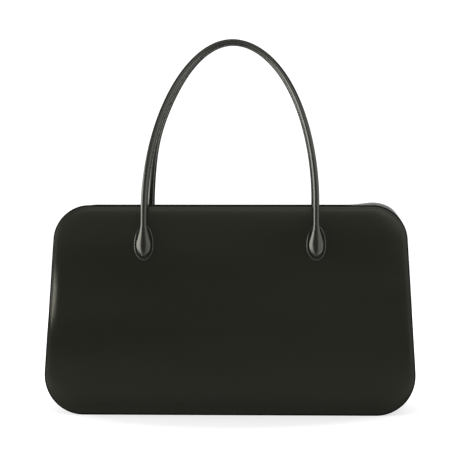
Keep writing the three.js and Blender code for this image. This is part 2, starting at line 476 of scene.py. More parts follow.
@dataclass(frozen=True)
class Wardrobe:
    """The finishes of the whole bag, each made once."""

    panel: Material
    gusset: Material
    handle: Material
    tab: Material
    paint: Material
    flesh: Material
    thread: Material

    @classmethod
    def stocked(cls) -> "Wardrobe":
        """Make every finish."""
        return cls(
            panel=LeatherFinish(
                "panel_leather",
                colour=(0.0064, 0.0069, 0.0043),
                roughness=0.311,
                polish_spread=0.036,
                stroke=(0.3, 1.0, 1.5),
                stroke_start=(0.39, 0.0, 0.08),
            ).build(),
            gusset=LeatherFinish(
                "gusset_leather",
                colour=(0.013, 0.013, 0.011),
                roughness=0.42,
                polish_spread=0.04,
            ).build(),
            handle=LeatherFinish(
                "handle_leather",
                colour=(0.012, 0.012, 0.0105),
                roughness=0.245,
                polish_spread=0.025,
                coat=0.3,
            ).build(),
            tab=LeatherFinish(
                "tab_leather",
                colour=(0.013, 0.013, 0.011),
                roughness=0.24,
                polish_spread=0.03,
                coat=0.6,
            ).build(),
            paint=PlainFinish(
                "edge_paint",
                colour=(0.006, 0.006, 0.006),
                roughness=0.6,
                gloss=0.05,
                grain=0.6 * MM,
                grain_strength=0.1,
            ).build(),
            flesh=PlainFinish(
                "flesh_side",
                colour=(0.016, 0.0155, 0.014),
                roughness=0.9,
                gloss=0.3,
                grain=0.5 * MM,
                grain_strength=0.6,
            ).build(),
            thread=PlainFinish(
                "waxed_thread",
                colour=(0.014, 0.014, 0.013),
                roughness=0.5,
                gloss=0.25,
                grain=0.2 * MM,
                grain_strength=0.3,
            ).build(),
        )

    def cover(self, piece: Object, leather: Material) -> None:
        """Fill the slots of a leather wall: its own leather, the edge paint and the flesh side."""
        for material in (leather, self.paint, self.flesh):
            piece.data.materials.append(material)


@dataclass(frozen=True)
class Step:
    """One place on a walk round the outline, seen from the front."""

    x: float
    z: float
    angle: float

    @property
    def outward(self) -> Vector:
        """The direction out of the outline."""
        return Vector((math.cos(self.angle), 0.0, math.sin(self.angle)))

    @property
    def along(self) -> Vector:
        """The direction of the walk."""
        return Vector((-math.sin(self.angle), 0.0, math.cos(self.angle)))


@dataclass(frozen=True)
class Outline:
    """A panel's outline seen from the front: a trapezoid with round corners."""

    height: float
    base_half_width: float
    top_half_width: float
    low_radius: float
    high_radius: float

    @property
    def lean(self) -> float:
        """How far the sides lean in from upright."""
        return math.atan2(self.base_half_width - self.top_half_width, self.height)

    def half_width(self, z: float) -> float:
        """Distance from the middle to the straight of a side at a height."""
        return self.base_half_width - math.tan(self.lean) * z

    def radius(self, high: bool) -> float:
        """Radius of the upper or lower corners."""
        return self.high_radius if high else self.low_radius

    def reach(self, high: bool) -> float:
        """Distance from a sharp corner to where its rounding starts."""
        corner_angle = QUARTER + (self.lean if high else -self.lean)
        return self.radius(high) / math.tan(corner_angle / 2)

    def centre(self, high: bool) -> tuple[float, float]:
        """X and Z of the right-hand upper or lower corner's centre."""
        radius = self.radius(high)
        z = self.height - radius if high else radius
        return self.half_width(z) - radius / math.cos(self.lean), z

    def walk(self, inset: float, pitch: float) -> list[Step]:
        """Even steps round the outline at an inset from it.

        Args:
            inset: Distance inside the outline.
            pitch: Wanted distance between steps.

        Returns:
            The steps, anticlockwise from the left end of the top edge.
        """
        high_x, high_z = self.centre(high=True)
        low_x, low_z = self.centre(high=False)
        high = self.high_radius - inset
        low = self.low_radius - inset
        arcs = (
            (-high_x, high_z, high, QUARTER, 2 * QUARTER - self.lean),
            (-low_x, low_z, low, 2 * QUARTER - self.lean, 3 * QUARTER),
            (low_x, low_z, low, 3 * QUARTER, 4 * QUARTER + self.lean),
            (high_x, high_z, high, 4 * QUARTER + self.lean, 5 * QUARTER),
        )
        corners = []
        for x, z, radius, start, end in arcs:
            for angle in np.linspace(start, end, ARC_STEPS):
                corners.append((x + radius * math.cos(angle), z + radius * math.sin(angle), angle))
        x, z, angle = corners[0]
        corners.append((x, z, angle + 4 * QUARTER))
        points = np.array(corners)
        lengths = np.hypot(*np.diff(points[:, :2], axis=0).T)
        travelled = np.concatenate(([0.0], np.cumsum(lengths)))
        count = round(travelled[-1] / pitch)
        stops = (np.arange(count) + 0.5) * travelled[-1] / count
        columns = [np.interp(stops, travelled, column) for column in points.T]
        return [Step(*map(float, row)) for row in zip(*columns)]

    def from_mouth(self, place: Vector, mouth: float) -> tuple[float, Vector]:
        """Find a place on the outline's top edge, upper corners or sides.

        Args:
            place: The place, on or near the outline.
            mouth: Half the length of the open mouth.

        Returns:
            The distance along the outline from the mouth's nearer end, and the way outwards.
        """
        x, z = self.centre(high=True)
        across = abs(place.x) - x
        if place.z > z and across < 0:
            return abs(place.x) - mouth, UP
        side = math.copysign(1.0, place.x)
        if place.z > z:
            angle = math.atan2(across, place.z - z)
            way = Vector((side * math.sin(angle), 0.0, math.cos(angle)))
            return x - mouth + self.high_radius * angle, way
        down = (z - place.z) / math.cos(self.lean)
        way = Vector((side * math.cos(self.lean), 0.0, math.sin(self.lean)))
        return x - mouth + self.high_radius * (QUARTER - self.lean) + down, way


@dataclass(frozen=True)
class BagShape:
    """The leaning, rolled-back form that the panels, gusset, tabs and feet share."""

    outline: Outline
    base_half_depth: float = 60.0 * MM
    mouth_half_depth: float = 39.0 * MM
    roll_width: float = 14.0 * MM
    roll_depth: float = 1.2 * MM
    roll_power: float = 4.0
    press: float = 1.9 * MM
    press_start: float = 1.0 * MM
    press_width: float = 9.0 * MM
    press_height: float = 116.0 * MM
    press_half_rise: float = 29.0 * MM
    crown: float = 1.8 * MM
    crown_width: float = 36.0 * MM
    heel: float = 1.2 * MM
    heel_width: float = 45.0 * MM
    corner: float = 3.0 * MM
    corner_width: float = 35.0 * MM
    corner_drop: float = 110.0 * MM
    toe: float = 4.0 * MM
    toe_width: float = 45.0 * MM
    toe_rise: float = 60.0 * MM

    @property
    def lean(self) -> float:
        """How far a panel leans back from upright."""
        return math.atan2(self.base_half_depth - self.mouth_half_depth, self.outline.height)

    @property
    def up_face(self) -> Vector:
        """The direction up the front panel."""
        return Vector((0.0, math.sin(self.lean), math.cos(self.lean)))

    @property
    def out_of_face(self) -> Vector:
        """The direction straight out of the front panel."""
        return Vector((0.0, -math.cos(self.lean), math.sin(self.lean)))

    def half_depth(self, z: float) -> float:
        """Distance from the bag's middle to a panel's rim at a height."""
        return self.base_half_depth - math.tan(self.lean) * z

    def roll(self, inset: float) -> float:
        """How far a panel stands proud of its rim at an inset from it."""
        share = min(inset / self.roll_width, 1.0)
        return self.roll_depth * (1.0 - (1.0 - share) ** self.roll_power)

    def pressed_back(self, x: float, z: float) -> float:
        """How far a panel is eased back at a place: left margin halfway up, head, heel and corners."""
        half_width = self.outline.half_width(z)
        from_side = half_width - abs(x)
        from_top = self.outline.height - z
        rise = (z - self.press_height) / self.press_half_rise
        margin = min(fade(half_width + x - self.press_start, self.press_width), 1.0)
        aside = self.press * math.exp(-(rise**4)) * smooth_step(margin)
        head = fade(from_top, self.crown_width)
        heel = fade(z, self.heel_width)
        corner = fade(from_side, self.corner_width) * fade(from_top, self.corner_drop)
        toe = fade(from_side, self.toe_width) * fade(z, self.toe_rise)
        eased = self.crown * head**2 + self.heel * heel**2 + self.corner * corner**2 + self.toe * toe**2
        return aside + eased

    def on_face(self, x: float, up: float, off: float) -> Vector:
        """A point up the front panel's flat middle and off it."""
        foot = Vector((x, -self.base_half_depth - self.roll_depth, 0.0))
        return foot + self.up_face * up + self.out_of_face * off

    def blank(self, name: str, back: float) -> Object:
        """Model the flat outline on the front's leaning plane.

        Args:
            name: Name of the new piece.
            back: Distance of the blank behind the panel's rim.

        Returns:
            The new piece, open in edit mode with its one face selected.
        """
        outline = self.outline
        Bench.clear()
        bpy.ops.mesh.primitive_plane_add(size=1.0, rotation=(QUARTER, 0.0, 0.0))
        piece = Bench.open(name)
        Bench.scale(2 * outline.base_half_width, 1.0, outline.height)
        bpy.ops.transform.translate(value=(0.0, back - self.base_half_depth, outline.height / 2))
        Bench.pick(piece, Element.VERT, lambda vert: vert.co.z > outline.height / 2)
        Bench.scale(outline.top_half_width / outline.base_half_width, 1.0, 1.0)
        bpy.ops.transform.translate(value=(0.0, self.base_half_depth - self.mouth_half_depth, 0.0))
        for high in (False, True):
            self.round_corners(piece, high)
        Bench.pick_all()
        return piece

    def round_corners(self, piece: Object, high: bool) -> None:
        """Round the upper or the lower two corners of a blank.

        Args:
            piece: The blank, in edit mode.
            high: Whether the corners are the upper ones.
        """
        end = self.outline.height if high else 0.0
        Bench.pick(piece, Element.VERT, lambda vert: abs(vert.co.z - end) < MM)
        bpy.ops.mesh.bevel(
            offset=self.outline.reach(high),
            segments=CORNER_SEGMENTS,
            profile=ROUND_PROFILE,
            affect="VERTICES",
        )

    @staticmethod
    def roll_in(insets: Sequence[float], rise: Callable[[float], float]) -> None:
        """Inset the selected face ring by ring, each ring pulled forward by a profile.

        Args:
            insets: Distances of the rings from the rim.
            rise: How far forward the profile stands at an inset.
        """
        for before, after in pairwise(insets):
            bpy.ops.mesh.inset(thickness=after - before, use_even_offset=True)
            bpy.ops.transform.translate(value=(0.0, rise(before) - rise(after), 0.0))


@dataclass(frozen=True)
class Stitching:
    """A row of thread stitches, each one a copy of one modelled stitch."""

    length: float
    thickness: float
    slant: float
    sides: int = 8
    rings: int = 6

    def model(self) -> tuple[np.ndarray, list[tuple[int, ...]]]:
        """Model one stitch along X, lying on the XY plane.

        Returns:
            Its vertices, and its faces as vertex numbers.
        """
        Bench.clear()
        bpy.ops.mesh.primitive_uv_sphere_add(
            segments=self.sides, ring_count=self.rings, radius=1.0, rotation=(0.0, QUARTER, 0.0)
        )
        stitch = Bench.open("one_stitch")
        Bench.scale(self.length / 2, self.thickness / 2, self.thickness / 2)
        bpy.ops.transform.rotate(value=self.slant, orient_axis="Z", center_override=ORIGIN)
        bpy.ops.object.mode_set(mode="OBJECT")
        mesh = stitch.data
        points = np.array([vert.co[:] for vert in mesh.vertices])
        faces = [tuple(face.vertices) for face in mesh.polygons]
        bpy.data.objects.remove(stitch)
        bpy.data.meshes.remove(mesh)
        return points, faces

    def sew(self, name: str, places: Sequence[Matrix], thread: Material) -> Object:
        """Set a stitch at each place and join them all in one mesh.

        Args:
            name: Name of the row.
            places: Where each stitch lies: X along the seam and Z out of the leather.
            thread: The thread's material.

        Returns:
            The row of stitches.
        """
        points, faces = self.model()
        rows = [points @ np.array(place.to_3x3()).T + np.array(place.translation) for place in places]
        joined = [
            tuple(index + number * len(points) for index in face)
            for number in range(len(rows))
            for face in faces
        ]
        mesh = bpy.data.meshes.new(name)
        mesh.from_pydata(np.concatenate(rows).tolist(), [], joined)
        mesh.materials.append(thread)
        row = bpy.data.objects.new(name, mesh)
        bpy.context.scene.collection.objects.link(row)
        Bench.activate(row)
        bpy.ops.object.shade_smooth()
        return row

    @staticmethod
    def place(point: Vector, along: Vector, out: Vector) -> Matrix:
        """A stitch's place from a point, the way along the seam and the way out of the leather."""
        across = out.cross(along).normalized()
        along = across.cross(out).normalized()
        turn = Matrix((along, across, out.normalized())).transposed().to_4x4()
        return Matrix.Translation(point) @ turn


@dataclass(frozen=True)
class Panel:
    """The bag's front and back walls, with painted rims and a sewn line inside them."""

    shape: BagShape
    wall: float = 2.4 * MM
    rim_bevel: float = 0.7 * MM
    painted_rings: tuple[float, ...] = in_mm(0.0, 0.7, 1.4)
    groove_rings: tuple[float, ...] = in_mm(1.75, 2.1, 2.45, 2.75, 3.0, 3.25, 3.55, 3.9)
    shoulder_rings: tuple[float, ...] = in_mm(4.6, 5.6, 7.0, 8.5, 10.0, 11.5, 13.0, 14.0, 16.0)
    grid: float = 12.0 * MM
    seam_inset: float = 3.0 * MM
    groove_depth: float = 0.07 * MM
    groove_half_width: float = 0.55 * MM
    belly: float = 1.3 * MM
    belly_height: float = 84.0 * MM
    belly_half_rise: float = 66.0 * MM
    stitching: Stitching = Stitching(length=2.1 * MM, thickness=0.62 * MM, slant=math.radians(7))
    stitch_pitch: float = 2.8 * MM

    def profile(self, inset: float) -> float:
        """The rolled margin's height, with the groove that the stitches lie in."""
        share = (inset - self.seam_inset) / self.groove_half_width
        return self.shape.roll(inset) - self.groove_depth * math.exp(-share * share)

    def build(self) -> Object:
        """Model the front panel."""
        outline = self.shape.outline
        piece = self.shape.blank("front_panel_leather", 0.0)
        self.shape.roll_in(self.painted_rings, self.profile)
        self.paint_margin(piece)
        leather_rings = (self.painted_rings[-1], *self.groove_rings, *self.shoulder_rings)
        self.shape.roll_in(leather_rings, self.profile)
        columns = math.floor(outline.base_half_width / self.grid)
        rows = math.floor(outline.height / self.grid)
        Bench.cut([column * self.grid for column in range(-columns, columns + 1)], RIGHT)
        Bench.cut([(row + 0.5) * self.grid for row in range(rows)], UP)
        Bench.clear()
        self.ease(piece)
        return piece

    @staticmethod
    def paint_margin(piece: Object) -> None:
        """Mark the outer margin, which is all that is not selected, as painted."""
        mesh = bmesh.from_edit_mesh(piece.data)
        for face in mesh.faces:
            face.material_index = Skin.GRAIN.value if face.select else Skin.EDGE.value
        bmesh.update_edit_mesh(piece.data)

    def ease(self, piece: Object) -> None:
        """Ease the margins and corners back, and let the flat middle swell a little."""
        half_width = self.shape.outline.top_half_width - self.shape.roll_width
        for vert in piece.data.vertices:
            vert.co.y += self.shape.pressed_back(vert.co.x, vert.co.z)
            up = (vert.co.z - self.belly_height) / self.belly_half_rise
            side = vert.co.x / half_width
            if abs(up) < 1.0 and abs(side) < 1.0:
                swell = math.cos(up * QUARTER) ** 2 * (1.0 - side**4) ** 2
                vert.co.y -= self.belly * swell

    def dress(self, piece: Object, wardrobe: Wardrobe) -> None:
        """Give the panel its thickness, painted rim and leather."""
        wardrobe.cover(piece, wardrobe.panel)
        Bench.thicken(piece, self.wall)
        Bench.round_edges(piece, self.rim_bevel)
        Bench.smooth(piece)

    def seam(self, wardrobe: Wardrobe) -> Object:
        """Sew the line of stitches round the front panel."""
        step_in = self.groove_half_width
        before = self.shape.roll(self.seam_inset - step_in)
        after = self.shape.roll(self.seam_inset + step_in)
        slope = (after - before) / (2 * step_in)
        proud = self.profile(self.seam_inset)
        places = []
        for step in self.shape.outline.walk(self.seam_inset, self.stitch_pitch):
            y = self.shape.pressed_back(step.x, step.z) - self.shape.half_depth(step.z) - proud
            out = step.outward * slope - Vector((0.0, 1.0, 0.0))
            along = step.along + Vector((0.0, math.tan(self.shape.lean) * step.along.z, 0.0))
            places.append(Stitching.place(Vector((step.x, y, step.z)), along, out.normalized()))
        return self.stitching.sew("front_panel_stitches", places, wardrobe.thread)


@dataclass(frozen=True)
class Gusset:
    """The strip that joins the panels round the shoulders, sides and base, open at the mouth."""

    shape: BagShape
    panel_wall: float
    wall: float = 1.8 * MM
    seam_gap: float = 0.45 * MM
    setback: float = 0.6 * MM
    flange: float = 6.0 * MM
    flange_rings: int = 5
    fold: float = 1.6 * MM
    fold_segments: int = 4
    edge_bevel: float = 0.5 * MM
    mouth: float = 122.0 * MM
    straight_cuts: int = 15
    shares: tuple[float, ...] = (1.0, 0.85, 0.7, 0.55, 0.4, 0.2, 0.0)
    swell_along: tuple[float, ...] = in_mm(0.0, 16.0, 38.0, 54.0, 90.0, 140.0, 205.0)
    swell_out: tuple[float, ...] = in_mm(6.5, 8.4, 9.2, 7.6, 0.6, -3.0, 0.0)
    left_share: float = 0.62

    def swell(self, place: Vector) -> Vector:
        """How far the middle of the strip stands out at a place on it."""
        along, way = self.shape.outline.from_mouth(place, self.mouth)
        stops = self.swell_along
        at = min(max(along, stops[0]), stops[-1])
        row = min(int(np.searchsorted(stops, at, side="right")) - 1, len(stops) - 2)
        share = smooth_step((at - stops[row]) / (stops[row + 1] - stops[row]))
        out = self.swell_out[row] + share * (self.swell_out[row + 1] - self.swell_out[row])
        return way * (out * (self.left_share if place.x < 0 else 1.0))

    def build(self) -> Object:
        """Model the strip's front half, from its flange to the bag's middle, then mirror it."""
        shape = self.shape
        piece = shape.blank("gusset_leather", self.panel_wall + self.seam_gap + self.wall)
        Bench.pick(piece, Element.EDGE, lambda edge: edge.calc_length() > 2 * shape.roll_width)
        bpy.ops.mesh.subdivide(number_cuts=self.straight_cuts)
        bpy.ops.mesh.select_mode(type="FACE")
        Bench.pick_all()
        shape.roll_in([0.0, self.setback], shape.roll)
        bpy.ops.mesh.select_all(action="INVERT")
        bpy.ops.mesh.delete(type="FACE")
        Bench.pick_all()
        shape.roll_in(np.linspace(self.setback, self.flange, self.flange_rings).tolist(), shape.roll)
        for before, after in pairwise(self.shares):
            self.extend(piece, before, after)
        bpy.ops.mesh.delete(type="ONLY_FACE")
        self.open_mouth(piece)
        Bench.round_edges(piece, self.fold, self.fold_segments)
        self.ease(piece)
        Bench.apply(piece, "MIRROR", use_axis=(False, True, False), merge_threshold=MERGE_DISTANCE)
        return piece

    def extend(self, piece: Object, before: float, after: float) -> None:
        """Extrude the wall one ring nearer the bag's middle plane and swell it.

        Args:
            piece: The strip, in edit mode with its inner cap selected.
            before: Share of the half depth where the cap is.
            after: Share of the half depth where it goes.
        """
        bpy.ops.mesh.extrude_region_move(TRANSFORM_OT_translate={"value": ORIGIN})
        Bench.scale(1.0, after / before, 1.0)
        mesh = bmesh.from_edit_mesh(piece.data)
        for vert in mesh.verts:
            if vert.select:
                vert.co += self.swell(vert.co) * (before * before - after * after)
        bmesh.update_edit_mesh(piece.data)

    def open_mouth(self, piece: Object) -> None:
        """Take out the strip between the mouth's two ends, and turn what stays to face outwards."""
        Bench.cut([-self.mouth, self.mouth], RIGHT)
        Bench.pick(piece, Element.FACE, self.in_mouth)
        bpy.ops.mesh.delete(type="FACE")
        Bench.pick_all()
        bpy.ops.mesh.flip_normals()

    def in_mouth(self, face: BMFace) -> bool:
        """Whether a face lies across the mouth."""
        middle = face.calc_center_median()
        return abs(middle.x) < self.mouth and middle.z > self.shape.outline.height / 2

    def ease(self, piece: Object) -> None:
        """Ease the strip back with the panel, less and less towards the bag's middle."""
        for vert in piece.data.vertices:
            near_panel = vert.co.y / -self.shape.half_depth(vert.co.z)
            vert.co.y += self.shape.pressed_back(vert.co.x, vert.co.z) * near_panel**2

    def dress(self, piece: Object, wardrobe: Wardrobe) -> None:
        """Give the strip its thickness, painted edges and leather."""
        wardrobe.cover(piece, wardrobe.gusset)
        Bench.thicken(piece, self.wall)
        Bench.round_edges(piece, self.edge_bevel)
        Bench.smooth(piece)


@dataclass(frozen=True)
class Tab:
    """An oval leather tab under a handle's foot, with a round bead as its rim."""

    shape: BagShape
    leg_x: float
    seat_gap: float = 0.3 * MM
    wall: float = 1.2 * MM
    sides: int = 64
    half_width: float = 9.7 * MM
    below: float = 15.3 * MM
    above: float = 21.0 * MM
    centre: float = 169.5 * MM
    bead_width: float = 2.0 * MM
    bead_height: float = 0.6 * MM
    bead_steps: int = 10

    @property
    def seat(self) -> float:
        """Height off the panel that a foot's sections are measured from."""
        return 2 * self.seat_gap + self.wall

    @property
    def floor(self) -> float:
        """Height off the panel of the tab's face inside its bead."""
        return self.seat_gap + self.wall - self.bead_height

    def bead(self, share: float) -> float:
        """Height of the bead at a share of its width."""
        return self.bead_height * math.sqrt(1.0 - (2.0 * share - 1.0) ** 2)

    def build(self, hand: Hand) -> Object:
        """Model one tab of the front.

        Args:
            hand: Which of the front's two tabs it is.

        Returns:
            The tab, in place.
        """
        Bench.clear()
        bpy.ops.mesh.primitive_circle_add(
            vertices=self.sides, radius=1.0, fill_type="NGON", rotation=(QUARTER, 0.0, 0.0)
        )
        piece = Bench.open(f"front_{hand.name.lower()}_tab_leather")
        Bench.scale(self.half_width, 1.0, self.below)
        Bench.pick(piece, Element.VERT, lambda vert: vert.co.z > HAIR)
        Bench.scale(1.0, 1.0, self.above / self.below)
        Bench.pick_all()
        turns = np.linspace(0.0, math.pi, self.bead_steps + 1)
        for before, after in pairwise((1.0 - np.cos(turns)) / 2.0):
            bpy.ops.mesh.inset(
                thickness=(after - before) * self.bead_width,
                depth=self.bead(after) - self.bead(before),
                use_even_offset=True,
            )
        Bench.clear()
        piece.location = self.shape.on_face(hand.value * self.leg_x, self.centre, self.floor)
        piece.rotation_euler.x = -self.shape.lean
        Bench.activate(piece)
        Bench.freeze()
        return piece

    def dress(self, piece: Object, wardrobe: Wardrobe) -> None:
        """Give the tab its thickness and leather."""
        wardrobe.cover(piece, wardrobe.tab)
        Bench.thicken(piece, self.wall - self.bead_height, even=False)
        Bench.smooth(piece)


@dataclass(frozen=True)
class FootSection:
    """One section of a handle's foot: its rise above the tip and its half width, front and back."""

    rise: float
    half_width: float
    front: float
    back: float

    @classmethod
    def rows(cls, *rows: tuple[float, float, float, float]) -> tuple["FootSection", ...]:
        """Sections from rows of rise, half width, front and back in millimetres."""
        return tuple(cls(*in_mm(*row)) for row in rows)


@dataclass(frozen=True)
class Ring:
    """One section of a handle: its centre, its turn from the top of the arch and its half sizes."""

    centre: Vector
    turn: float
    half_width: float
    half_depth: float


@dataclass(frozen=True)
class Handle:
    """A tightly rolled leather handle, sewn along its inner side, with a swollen foot at each end."""

    shape: BagShape
    tab: Tab
    loop_base: float = 208.0 * MM
    loop_rise: float = 167.6 * MM
    fullness: float = 1.965
    apex_y: float = -6.5 * MM
    sway: float = 2.6 * MM
    settle: float = 0.5
    settle_power: int = 8
    bow: float = 1.6 * MM
    bow_height: float = 0.42
    bow_spread: float = 0.2
    apex_radius: float = 2.5 * MM
    leg_radius: float = 3.2 * MM
    sides: int = 32
    loop_rings: int = 48
    foot_tip: float = 159.2 * MM
    foot: tuple[FootSection, ...] = FootSection.rows(
        (34.0, 3.2, 3.2, 3.2),
        (31.0, 3.3, 3.4, 3.2),
        (28.6, 3.5, 3.55, 3.0),
        (26.2, 3.85, 3.75, 2.7),
        (23.6, 4.35, 4.0, 2.4),
        (21.0, 4.95, 4.25, 2.1),
        (18.4, 5.5, 4.5, 1.8),
        (16.0, 6.15, 4.7, 1.5),
        (13.6, 6.8, 4.85, 1.3),
        (11.2, 7.05, 4.9, 1.1),
        (8.8, 6.95, 4.9, 1.0),
        (6.5, 6.6, 4.9, 0.9),
        (4.6, 6.0, 4.85, 0.8),
        (3.0, 5.25, 4.85, 0.7),
        (1.8, 4.45, 4.8, 0.6),
        (0.9, 3.65, 4.75, 0.5),
        (0.3, 2.9, 4.6, 0.4),
        (0.0, 2.5, 4.2, 0.3),
    )
    pinch: float = 0.85
    pinch_top: float = 32.0 * MM
    pinch_fade: float = 0.5
    ridge: float = 3.5 * MM
    fin_foot: float = 199.0 * MM
    fin_half_width: float = 1.0 * MM
    fin_height: float = 1.25 * MM
    fin_taper: float = 0.45
    fin_across: float = 0.9
    seam_share: float = 0.65
    seam_start: float = 0.04
    seam_steps: int = 400
    stitching: Stitching = Stitching(length=2.0 * MM, thickness=0.55 * MM, slant=math.radians(8))
    stitch_pitch: float = 2.6 * MM

    def loop_ring(self, angle: float) -> Ring:
        """The section of the arch at an angle round its left half, from leg to top."""
        leg_x = self.tab.leg_x
        neck = self.foot_ring(self.foot[0]).centre
        power = 2.0 / self.fullness
        z = self.loop_base + self.loop_rise * math.sin(angle) ** power
        rise = z - neck.z
        span = self.loop_base + self.loop_rise - neck.z
        slope = math.tan(self.shape.lean)
        bend = self.apex_y - neck.y - slope * span
        y = neck.y + slope * rise + bend * (rise / span) ** 2
        turn = math.atan2(self.loop_rise * math.cos(angle), leg_x * math.sin(angle))
        radius = self.leg_radius + (self.apex_radius - self.leg_radius) * math.sin(angle)
        return Ring(Vector((-leg_x * max(math.cos(angle), 0.0) ** power, y, z)), turn, radius, radius)

    def foot_ring(self, section: FootSection) -> Ring:
        """The ring of one section of the left foot, before its back is cut flat."""
        up = self.foot_tip + section.rise
        centre = self.shape.on_face(-self.tab.leg_x, up, self.tab.seat + section.back)
        return Ring(centre, QUARTER, section.half_width, section.front)

    def foot_at(self, rise: float) -> FootSection:
        """The section of the foot at a rise above its tip, between the listed ones."""
        columns = np.array([astuple(section) for section in reversed(self.foot)]).T
        return FootSection(*(float(np.interp(rise, columns[0], column)) for column in columns))

    def rings(self) -> list[Ring]:
        """All sections of the left half, from the top of the arch down to the foot's tip."""
        arch = [self.loop_ring(float(angle)) for angle in np.linspace(QUARTER, 0.0, self.loop_rings)]
        return arch + [self.foot_ring(section) for section in self.foot]

    def build(self) -> Object:
        """Model the front handle: its left half from the top down, mirrored, then its sewn fin."""
        rings = self.rings()
        Bench.clear()
        bpy.ops.mesh.primitive_circle_add(
            vertices=self.sides,
            radius=rings[0].half_width,
            location=rings[0].centre,
            rotation=(0.0, QUARTER, 0.0),
        )
        piece = bpy.context.object
        Bench.freeze()
        innermost = min(piece.data.vertices, key=lambda vert: vert.co.z)
        piece.vertex_groups.new(name="seam").add([innermost.index], 1.0, "REPLACE")
        Bench.open("front_handle_leather")
        for before, after in pairwise(rings):
            self.extend(before, after)
        bpy.ops.mesh.edge_face_add()
        self.flatten_foot(piece)
        Bench.clear()
        self.pinch_foot(piece)
        Bench.apply(piece, "MIRROR", use_axis=(True, False, False), merge_threshold=MERGE_DISTANCE)
        self.raise_fin(piece)
        self.lean_aside(piece)
        return piece

    @staticmethod
    def extend(before: Ring, after: Ring) -> None:
        """Extrude the selected ring on to the next section."""
        centre = tuple(after.centre)
        bpy.ops.mesh.extrude_region_move(
            TRANSFORM_OT_translate={"value": tuple(after.centre - before.centre)}
        )
        bpy.ops.transform.rotate(value=after.turn - before.turn, orient_axis="Y", center_override=centre)
        wider = after.half_width / before.half_width
        deeper = after.half_depth / before.half_depth
        bpy.ops.transform.resize(value=(wider, deeper, wider), center_override=centre)

    def flatten_foot(self, piece: Object) -> None:
        """Cut the back of the foot flat where it sits on its tab."""
        neck = self.foot_ring(self.foot[0]).centre
        Bench.pick(piece, Element.FACE, lambda face: face.calc_center_median().z < neck.z)
        floor = self.shape.on_face(0.0, 0.0, self.tab.floor)
        bpy.ops.mesh.bisect(
            plane_co=tuple(floor), plane_no=tuple(self.shape.out_of_face), clear_inner=True, use_fill=True
        )

    def pinch_foot(self, piece: Object) -> None:
        """Pinch the foot's round front to a soft ridge along its middle."""
        base = self.shape.on_face(-self.tab.leg_x, self.foot_tip, self.tab.seat)
        for vert in piece.data.vertices:
            away = vert.co - base
            rise = away.dot(self.shape.up_face)
            off = away.dot(self.shape.out_of_face)
            section = self.foot_at(rise)
            if rise > self.pinch_top or off < section.back:
                continue
            aside = min(abs(away.x) / section.half_width, 1.0)
            ridge = self.ridge / section.half_width
            roof = 1.0 + ridge - math.hypot(aside, ridge)
            pinch = self.pinch * smooth_step(min(fade(rise, self.pinch_top) / self.pinch_fade, 1.0))
            share = (1.0 - pinch) * math.sqrt(1.0 - aside * aside) + pinch * roof
            vert.co += self.shape.out_of_face * (section.back + section.front * share - off)

    def raise_fin(self, piece: Object) -> None:
        """Raise the two sewn layers that run along the inner side of the arch."""
        Bench.activate(piece)
        bpy.ops.object.mode_set(mode="EDIT")
        layer = bmesh.from_edit_mesh(piece.data).verts.layers.deform.active
        Bench.pick(
            piece,
            Element.EDGE,
            lambda edge: all(vert[layer] and vert.co.z > self.fin_foot for vert in edge.verts),
        )
        bpy.ops.mesh.bevel(offset=self.fin_half_width, segments=1, affect="EDGES")
        bpy.ops.mesh.extrude_region_shrink_fatten(
            TRANSFORM_OT_shrink_fatten={"value": self.fin_height}
        )
        self.taper_fin(piece)
        Bench.pick_all()
        bpy.ops.mesh.normals_make_consistent(inside=False)
        Bench.clear()

    def taper_fin(self, piece: Object) -> None:
        """Narrow the fin's selected outer face, by its edges that run from front to back."""
        mesh = bmesh.from_edit_mesh(piece.data)
        for edge in mesh.edges:
            span = (edge.verts[1].co - edge.verts[0].co) / 2
            if edge.select and abs(span.y) > self.fin_across * span.length:
                middle = edge.verts[0].co + span
                edge.verts[0].co = middle - span * self.fin_taper
                edge.verts[1].co = middle + span * self.fin_taper
        bmesh.update_edit_mesh(piece.data)

    def lean_aside(self, piece: Object) -> None:
        """Sway the arch to the right, more and more towards its top."""
        for vert in piece.data.vertices:
            share = max(vert.co.z - self.loop_base, 0.0) / self.loop_rise
            vert.co.x += self.sway * share * (1.0 - self.settle * share**self.settle_power)

    def bow_out(self, piece: Object) -> None:
        """Bow the left leg of the back's copy out a little, halfway up."""
        for vert in piece.data.vertices:
            if vert.co.x < 0.0:
                share = (vert.co.z - self.loop_base) / self.loop_rise
                vert.co.x -= self.bow * math.exp(-(((share - self.bow_height) / self.bow_spread) ** 2))

    def dress(self, piece: Object, wardrobe: Wardrobe) -> None:
        """Give the handle its leather."""
        piece.data.materials.append(wardrobe.handle)
        Bench.smooth(piece)

    def seam(self, wardrobe: Wardrobe) -> Object:
        """Sew the stitches on both sides of the fin."""
        angles = np.linspace(self.seam_start, QUARTER, self.seam_steps)
        travelled = 0.0
        next_stop = self.stitch_pitch / 2
        places = []
        for before, after in pairwise(self.loop_ring(float(angle)) for angle in angles):
            along = after.centre - before.centre
            travelled += along.length
            if travelled >= next_stop:
                next_stop += self.stitch_pitch
                places.extend(self.stitch_places(after, along.normalized()))
        row = self.stitching.sew("front_handle_stitches", places, wardrobe.thread)
        self.lean_aside(row)
        return row

